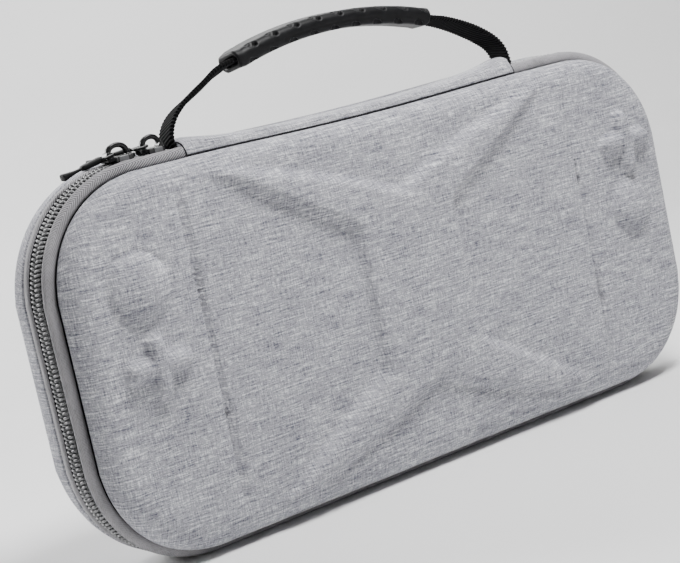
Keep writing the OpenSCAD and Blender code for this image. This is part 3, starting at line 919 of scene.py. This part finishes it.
grip_row(s_left + 5.0, sec_in)
grip_row(s_left + 0.3, sec_in)
grip_row(s_left, (sec_in + sec_lip) / 2)
grip_row(s_left + 0.05, sec_lip)
body_s = np.arange(s_left + 0.55, s_right - 0.5, 0.3)
slots_at = [s_left + 6.8 + k * 9.1 for k in range(9)]
for s_ in body_s:
    sect = sec_out.copy()
    for (sa, sb) in ((1, 1), (-1, 1), (1, -1), (-1, -1)):
        # slanted oval pockets on the four rounded shoulders
        dp = (per - shoulder[(sa, sb)] + PER / 2) % PER - PER / 2
        for sc in slots_at:
            dsn = (s_ - sc - 0.8 * sb) - 0.75 * dp * sa * -1
            rr = (dp / 1.25) ** 2 + (dsn / 1.85) ** 2
            depth = 1.35 * smooth(1.15, 0.6, rr)
            sect -= sec_n * depth[:, None]
    # fine slit along the front side, from a fifth of the way to the right end
    slit = np.exp(-((sec_out[:, 1] + 0.95) / 0.25) ** 2) * (sec_out[:, 0] < -GW + 0.8)
    sect[:, 0] += 0.5 * slit * smooth(s_left + 19, s_left + 20.5, s_)
    grip_row(s_, sect)
grip_row(s_right - 0.05, sec_lip)
grip_row(s_right, (sec_in + sec_lip) / 2)
grip_row(s_right - 0.3, sec_in)
grip_row(s_right - 5.0, sec_in)
V = np.array(rows).reshape(-1, 3)
F = grid_faces(len(rows), m, close_cols=True)
make("handle_grip_moulding", lean_back(V), F, [M_GRIP], np.array(Urows).reshape(-1, 2), None, "spine", ("handle_grip",), dip=False)


# ---------------------------------------------------------------- sliders and pulls
def bevelled(name, outline, depth0, depth1, frame_fn, mats, bevel=0.22, seg_n=2, holes=None):
    """Prism of a 2-D outline between two depths, with rounded edges; frame_fn turns (a, b, depth) into (x, v, z)."""
    n = len(outline)
    P = [(a, b, depth0) for a, b in outline] + [(a, b, depth1) for a, b in outline]
    F = [tuple(range(n)), tuple(range(2 * n - 1, n - 1, -1))]
    for i in range(n):
        j = (i + 1) % n
        F.append((i, j, n + j, n + i))
    me = bpy.data.meshes.new(name)
    me.from_pydata([tuple(to_world(np.array([frame_fn(*p)]))[0]) for p in P], [], F)
    bm = bmesh.new()
    bm.from_mesh(me)
    bmesh.ops.recalc_face_normals(bm, faces=bm.faces)
    if bevel:
        sharp = [e for e in bm.edges if len(e.link_faces) == 2 and e.calc_face_angle() > 0.5]
        bmesh.ops.bevel(bm, geom=sharp, offset=bevel * MM, segments=seg_n, profile=0.6, affect="EDGES", clamp_overlap=True)
    bm.to_mesh(me)
    bm.free()
    for mt in mats:
        me.materials.append(mt)
    me.polygons.foreach_set("use_smooth", np.ones(len(me.polygons), bool))
    o = bpy.data.objects.new(name, me)
    bpy.context.scene.collection.objects.link(o)
    mod = o.modifiers.new("weighted", "WEIGHTED_NORMAL")
    mod.keep_sharp = False
    return o


def arch(name, path, hw, ht, frame_fn, mats, ends_wider=0.0):
    """Flat bar bent along a path of (a, b) points; hw is half its width across the path's plane, ht half its thickness in it."""
    P = rounded_path(path, 8)
    T = np.gradient(P, axis=0)
    T /= np.linalg.norm(T, axis=1)[:, None]
    Nn = np.stack([-T[:, 1], T[:, 0]], 1)
    k = 12
    V, n = [], len(P)
    for i in range(n):
        e = abs(2 * i / (n - 1) - 1) ** 3 * ends_wider
        for j in range(k):
            a = 2 * math.pi * j / k
            ca, sa = math.cos(a), math.sin(a)
            t = (ht + e * 0.6) * np.sign(ca) * abs(ca) ** 0.7
            d_ = (hw + e) * np.sign(sa) * abs(sa) ** 0.7
            q = P[i] + Nn[i] * t
            V.append(frame_fn(q[0], q[1], d_))
    F = grid_faces(n, k, close_cols=True)
    F.append(tuple(range(k)))
    F.append(tuple((n - 1) * k + j for j in range(k)))
    return make(name, np.array(V), F, mats, None, None, None, (), dip=False)


def slider(tag, centre, flip, body, node):
    """Slider on the chain: plates above and below it, side walls, post and crown."""
    f = -1 if flip else 1
    # the body beside the handle is shorter at its crown's end
    short = lambda a: a * (0.8 if flip and a < 0 else 1.0)
    top = lambda a, b, dep: (-centre + f * short(a), f * b, H + dep)
    ends = [(-5.0, -3.0), (-4.4, -3.5), (-2.6, -4.05), (3.6, -4.05), (4.6, -3.7), (5.0, -3.0),
            (5.0, 3.0), (4.6, 3.7), (3.6, 4.05), (-2.6, 4.05), (-4.4, 3.5), (-5.0, 3.0)]
    nose = [(-5.0, -2.6), (-4.3, -3.4), (-2.6, -4.05), (3.0, -4.05), (4.4, -3.4), (5.0, -2.0), (4.3, 0.0), (5.0, 2.0), (4.4, 3.4), (3.0, 4.05), (-2.6, 4.05), (-4.3, 3.4), (-5.0, 2.6)]
    p = bevelled(tag + "_plate", nose, 0.15, 1.6, top, [M_SLIDER], 0.35, 3)
    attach(p, body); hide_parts(node)
    q = bevelled(tag + "_underplate", ends, -4.7, -3.75, top, [M_SLIDER], 0.25, 2)
    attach(q, body)
    post = [(3.2 + 1.0 * math.cos(t), 1.0 * math.sin(t)) for t in np.linspace(0, 2 * math.pi, 20, endpoint=False)]
    r = bevelled(tag + "_post", post, -3.9, 0.3, top, [M_SLIDER], 0.0)
    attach(r, body)
    for k, side in enumerate((1, -1)):
        wall = [(-2.9, 3.42), (3.3, 3.42), (3.6, 3.75), (3.3, 4.08), (-2.9, 4.08), (-3.2, 3.75)]
        w_ = bevelled(f"{tag}_side_{k}", [(a, side * b) for a, b in wall], -1.75, 1.35, top, [M_SLIDER], 0.15, 2)
        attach(w_, body)
        pad = [(-1.9, 3.9), (1.5, 3.9), (1.5, 4.32), (-1.9, 4.32)]
        w_ = bevelled(f"{tag}_pad_{k}", [(a, side * b) for a, b in pad], -1.1, 1.45, top, [M_BLOCK], 0.2, 2)
        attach(w_, body)
    crown_fn = lambda a, b, dep: (-centre + f * short(a), f * dep, H + b)
    c = arch(tag + "_crown", [(-3.35, 0.9), (-3.45, 2.0), (-3.2, 3.4), (-2.3, 4.45), (-0.9, 4.95), (0.6, 5.0), (2.0, 4.55), (3.0, 3.5), (3.4, 2.1), (3.35, 0.9)], 0.9, 0.85, crown_fn, [M_SLIDER], 0.3)
    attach(c, body)
    knuckle = [(-4.8, 1.0), (-2.4, 1.0), (-2.3, 1.9), (-2.9, 2.7), (-3.3, 3.4), (-4.4, 3.2), (-4.9, 2.2)]
    g = bevelled(tag + "_knuckle", knuckle, -1.75, 1.75, crown_fn, [M_SLIDER], 0.3, 3)
    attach(g, body)
    for k, a_ in enumerate((-3.4, 3.4)):
        foot = [(a_ - 0.9, -1.25), (a_ + 0.9, -1.25), (a_ + 1.05, 0), (a_ + 0.9, 1.25), (a_ - 0.9, 1.25), (a_ - 1.05, 0)]
        g = bevelled(f"{tag}_foot_{k}", foot, 1.0, 1.85, top, [M_SLIDER], 0.25, 2)
        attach(g, body)


slider("slider_a", SLIDER_A, False, "slider_a", "slider_a_body")
slider("slider_b", SLIDER_B, True, "slider_b", "slider_b_body")


def pull(tag, centre, down, yaw_link, yaw_tab, shift, body, link_node, tab_node):
    """Wire loop through the crown and a moulded tab with a waist and a flared end."""
    dn = math.radians(down)

    def place(a, b, dep, yaw):
        # a along the pull (negative away from the pivot), b up, dep forwards
        yw = math.radians(yaw)
        x, v = a * math.cos(yw) + dep * math.sin(yw), -a * math.sin(yw) + dep * math.cos(yw)
        X = x * math.cos(dn) - b * math.sin(dn)
        Zz = x * math.sin(dn) + b * math.cos(dn)
        return (-centre + PIVOT_X + X, v, H + PIVOT_U + Zz)

    # link: closed loop of round wire in the plane of a and dep
    loop = []
    for (a0, d0, t0) in ((-3.75, 1.55, 90), (-3.75, -1.55, 180), (-0.35, -1.55, 270), (-0.35, 1.55, 0)):
        for t in np.linspace(t0, t0 + 90, 6):
            rr = 0.45
            loop.append((a0 + rr * math.cos(math.radians(t)), d0 + rr * math.sin(math.radians(t))))
    L = np.array(loop)
    n, k = len(L), 8
    T = np.roll(L, -1, 0) - np.roll(L, 1, 0)
    T /= np.linalg.norm(T, axis=1)[:, None]
    Nn = np.stack([T[:, 1], -T[:, 0]], 1)
    V = []
    for i in range(n):
        for j in range(k):
            t = 2 * math.pi * j / k
            q = L[i] + Nn[i] * 0.52 * math.cos(t)
            V.append(place(q[0], 0.52 * math.sin(t), q[1], yaw_link))
    o = make(tag + "_link_wire", np.array(V), grid_faces(n, k, close_cols=True, close_rows=True), [M_SLIDER], None, None, body, (link_node,), dip=False)
    # tab: lofted round-cornered sections along its length
    st = [(-3.85, 0.7, 1.4), (-4.05, 0.92, 1.62), (-4.5, 1.02, 1.7), (-6.0, 1.02, 1.7), (-8.6, 0.98, 1.65), (-10.6, 0.92, 1.5), (-11.2, 0.8, 1.3), (-11.5, 0.55, 1.05), (-12.6, 0.48, 1.0),
          (-14.0, 0.55, 1.15), (-15.6, 0.78, 1.4), (-17.2, 1.02, 1.62), (-18.2, 1.16, 1.7), (-18.5, 1.06, 1.6), (-18.62, 0.8, 1.3)]
    A = rounded_path(st, 4)
    k = 20
    V = []
    for a, hb, hd in A:
        for j in range(k):
            t = 2 * math.pi * j / k
            ct, sn = math.cos(t), math.sin(t)
            b = hb * np.sign(sn) * abs(sn) ** 0.55
            dd = hd * np.sign(ct) * abs(ct) ** 0.55
            x, v, z = place(a, b, dd, yaw_tab)
            V.append((x, v + shift, z))
    F = grid_faces(len(A), k, close_cols=True)
    F.append(tuple(range(k)))
    F.append(tuple((len(A) - 1) * k + j for j in range(k)))
    make(tag + "_grip_tab", np.array(V), F, [M_PULL], None, None, body, (tab_node,), dip=False)


pull("pull_a", SLIDER_A, 11, 0, 0, 0.0, "pull_a", "pull_a_link", "pull_a_tab")
pull("pull_b", SLIDER_B, 5, -12, -10, -2.6, "pull_b", "pull_b_link", "pull_b_tab")


# ---------------------------------------------------------------- inside
def slab(name, w_, z0, z1, r, v0, v1, mats, body, nodes, dv=None, nx=60, nz=30, edge=0.4, r_top=None):
    """Soft sheet with rounded corners and edges, between two depths; dv(x, z) pushes it forwards."""
    pts = []
    for (sx, sz, a0) in ((1, 1, 0), (-1, 1, 90), (-1, -1, 180), (1, -1, 270)):
        rr = r_top if r_top and sz > 0 else r
        cxx = sx * (w_ / 2 - rr)
        czz = (z1 - rr) if sz > 0 else (z0 + rr)
        for a in np.linspace(a0, a0 + 90, 10):
            pts.append((cxx + rr * math.cos(math.radians(a)), czz + rr * math.sin(math.radians(a))))
    O = np.array(pts)
    # densify
    D = []
    for i in range(len(O)):
        a, b = O[i], O[(i + 1) % len(O)]
        k = max(1, int(np.linalg.norm(b - a) / 4.0))
        for t in np.linspace(0, 1, k, endpoint=False):
            D.append(a + (b - a) * t)
    D = np.array(D)
    n = len(D)
    cz = (z0 + z1) / 2
    hx, hz = w_ / 2, (z1 - z0) / 2
    rows, U = [], []

    def ring(scale, v, inset):
        P = D.copy()
        P[:, 0] *= (hx - inset) / hx * scale
        P[:, 1] = cz + (P[:, 1] - cz) * (hz - inset) / hz * scale
        rows.append(np.stack([P[:, 0], np.full(n, v), P[:, 1]], 1))
        U.append(P.copy())

    tmid = (v0 + v1) / 2
    fr = [0.001, 0.2, 0.4, 0.6, 0.8, 0.93]
    for s_ in fr:
        ring(s_, v1, 0)
    ring(1, v1, edge); ring(1, v1 - (v1 - v0) * 0.15, edge * 0.35); ring(1, tmid, 0)
    ring(1, v0 + (v1 - v0) * 0.15, edge * 0.35); ring(1, v0, edge)
    for s_ in fr[::-1]:
        ring(s_, v0, 0)
    V = np.array(rows).reshape(-1, 3)
    if dv is not None:
        V[:, 1] += dv(V[:, 0], V[:, 2])
    return make(name, V, grid_faces(len(rows), n, close_cols=True), mats, np.array(U).reshape(-1, 2), None, body, nodes, dip=False, merge=0.2)


def band(name, x0, x1, z0, z1, v0, v1, mats, body, nodes, bow=0.0):
    """Flat elastic strip running upwards, a little bowed forwards in the middle, with fine edges."""
    zs = np.linspace(z0, z1, 60)
    sec = band_section((x1 - x0) / 2, (v1 - v0) / 2, 11, 4)
    V = np.zeros((len(zs), len(sec), 3))
    U = np.zeros((len(zs), len(sec), 2))
    t = (zs - z0) / (z1 - z0)
    for j, (a, th) in enumerate(sec):
        V[:, j, 0] = (x0 + x1) / 2 + a
        V[:, j, 1] = (v0 + v1) / 2 + th + bow * np.sin(math.pi * t)
        V[:, j, 2] = zs
        U[:, j, 0], U[:, j, 1] = zs, a
    F = grid_faces(len(zs), len(sec), close_cols=True)
    F.append(tuple(range(len(sec))))
    F.append(tuple((len(zs) - 1) * len(sec) + j for j in range(len(sec))))
    return make(name, V.reshape(-1, 3), F, mats, U.reshape(-1, 2), None, body, nodes, dip=False)


band("console_strap_lower_band", -19, 19, 3.6, 79.5, -5.2, -3.8, [M_ELASTIC], "base", ("console_strap_lower",), 0.0)
band("console_strap_upper_band", -17, 17, 64, 124.4, -3.6, -2.2, [M_ELASTIC], "base", ("console_strap_upper",), 0.0)

leaf = slab("card_page_leaf", 212, 16, 113, 20, -0.7, 0.7, [M_LINING], "spine", ("card_page",))
neck = slab("card_page_neck", 124, 88, 126.3, 2.0, -0.62, 0.62, [M_LINING], "spine", ("card_page",))
pk = []
for zc in (24, 68):
    for i in range(5):
        xc = (i - 2) * 38
        pk.append(slab(f"card_pocket_{'lower' if zc == 24 else 'upper'}_{i}", 32, zc, zc + 34, 1.6, 0.75, 3.6, [M_CARD], "spine", ("card_pockets",),
                       dv=lambda x, z, xc=xc, zc=zc: 0.0 * x))
for k_, o in enumerate(pk):
    i, zc = k_ % 5, 24 if k_ < 5 else 68
    o.data.transform(Matrix.Translation(((i - 2) * 38 * MM, 0, 0)))


def net_bulge(x, z):
    return 0.35 * np.sin(np.clip((z - 8) / 66, 0, 1) * math.pi) * np.cos(np.clip(x / 122, -1, 1) * math.pi / 2)


net = slab("mesh_pocket_net", 245.6, 7.2, 78, 29.6, 7.75, 8.45, [M_NET], "lid", ("mesh_pocket",), dv=net_bulge, r_top=0.8)
bz = np.linspace(-122.8, 122.8, 120)
sec = band_section(3.5, 0.7, 9, 4)
V = np.zeros((len(bz), len(sec), 3))
U = np.zeros((len(bz), len(sec), 2))
gather = 0.12 * np.sin(bz / 1.9) + 0.08 * np.sin(bz / 0.83)
for j, (a, th) in enumerate(sec):
    V[:, j, 0] = bz
    V[:, j, 1] = 8.5 + th + gather * (abs(th) > 0.2)
    V[:, j, 2] = 77.5 + a
    U[:, j, 0], U[:, j, 1] = bz, a
F = grid_faces(len(bz), len(sec), close_cols=True)
F.append(tuple(range(len(sec))))
F.append(tuple((len(bz) - 1) * len(sec) + j for j in range(len(sec))))
binding = make("pocket_binding_elastic", V.reshape(-1, 3), F, [M_ELASTIC], U.reshape(-1, 2), None, "lid", ("pocket_binding",), dip=False)

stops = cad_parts["zip_end_stops"]
stops.data.materials.clear()
stops.data.materials.append(M_SLIDER)

# ---------------------------------------------------------------- floor, backdrop and light
fl = Mat("floor_white", rough=0.9, spec=0.1)
oc = fl.coords("Object")
nn = fl.noise(fl.mapping(oc, (3, 3, 3)), 1.0, 2.0, 0.5)
fl.color(fl.ramp(nn, [(0.3, (0.80, 0.80, 0.80)), (0.7, (0.83, 0.83, 0.83))]))
pts, faces = [], []
prof = [(-3.0, 0.0), (0.5, 0.0), (1.0, 0.0)]
for a in np.linspace(0, 90, 16):
    prof.append((1.0 + 1.2 * math.sin(math.radians(a)), 1.2 - 1.2 * math.cos(math.radians(a))))
prof.append((2.2, 4.5))
az_f = math.radians(33.9)
for (q, z) in prof:
    for wx in (-6.0, 6.0):
        px = wx * math.cos(az_f) + q * math.sin(az_f)
        py = -wx * math.sin(az_f) + q * math.cos(az_f)
        pts.append((px, py, z))
for i in range(len(prof) - 1):
    faces.append((2 * i, 2 * i + 1, 2 * i + 3, 2 * i + 2))
fm_ = bpy.data.meshes.new("floor")
fm_.from_pydata(pts, [], faces)
fm_.materials.append(fl.m)
fm_.polygons.foreach_set("use_smooth", np.ones(len(fm_.polygons), bool))
floor = bpy.data.objects.new("floor", fm_)
bpy.context.scene.collection.objects.link(floor)

world = bpy.data.worlds.new("studio")
bpy.context.scene.world = world
world.use_nodes = True
bg = world.node_tree.nodes.get("Background")
bg.inputs["Color"].default_value = (1.0, 1.0, 1.0, 1)
bg.inputs["Strength"].default_value = 0.14


def area(name, loc, target, size, power, color=(1, 1, 1)):
    L = bpy.data.lights.new(name, "AREA")
    L.shape = "RECTANGLE"
    L.size, L.size_y = size
    L.energy = power
    L.color = color
    o = bpy.data.objects.new(name, L)
    bpy.context.scene.collection.objects.link(o)
    o.location = loc
    o.rotation_euler = (Vector(target) - Vector(loc)).to_track_quat("-Z", "Y").to_euler()
    return o


area("key_above", (0.04, -0.195, 0.54), (0, 0, 0.06), (0.24, 0.16), 5.5)
area("side_left", (-0.66, 1.15, 0.6), (0, 0, 0.06), (0.6, 0.5), 26.0)
area("back_floor", (0.9, 2.0, 1.5), (0.8, 1.7, 0.1), (1.8, 1.4), 85.0)
area("low_front", (0.55, -1.3, 0.10), (0, 0, 0.03), (0.9, 0.16), 1.7)

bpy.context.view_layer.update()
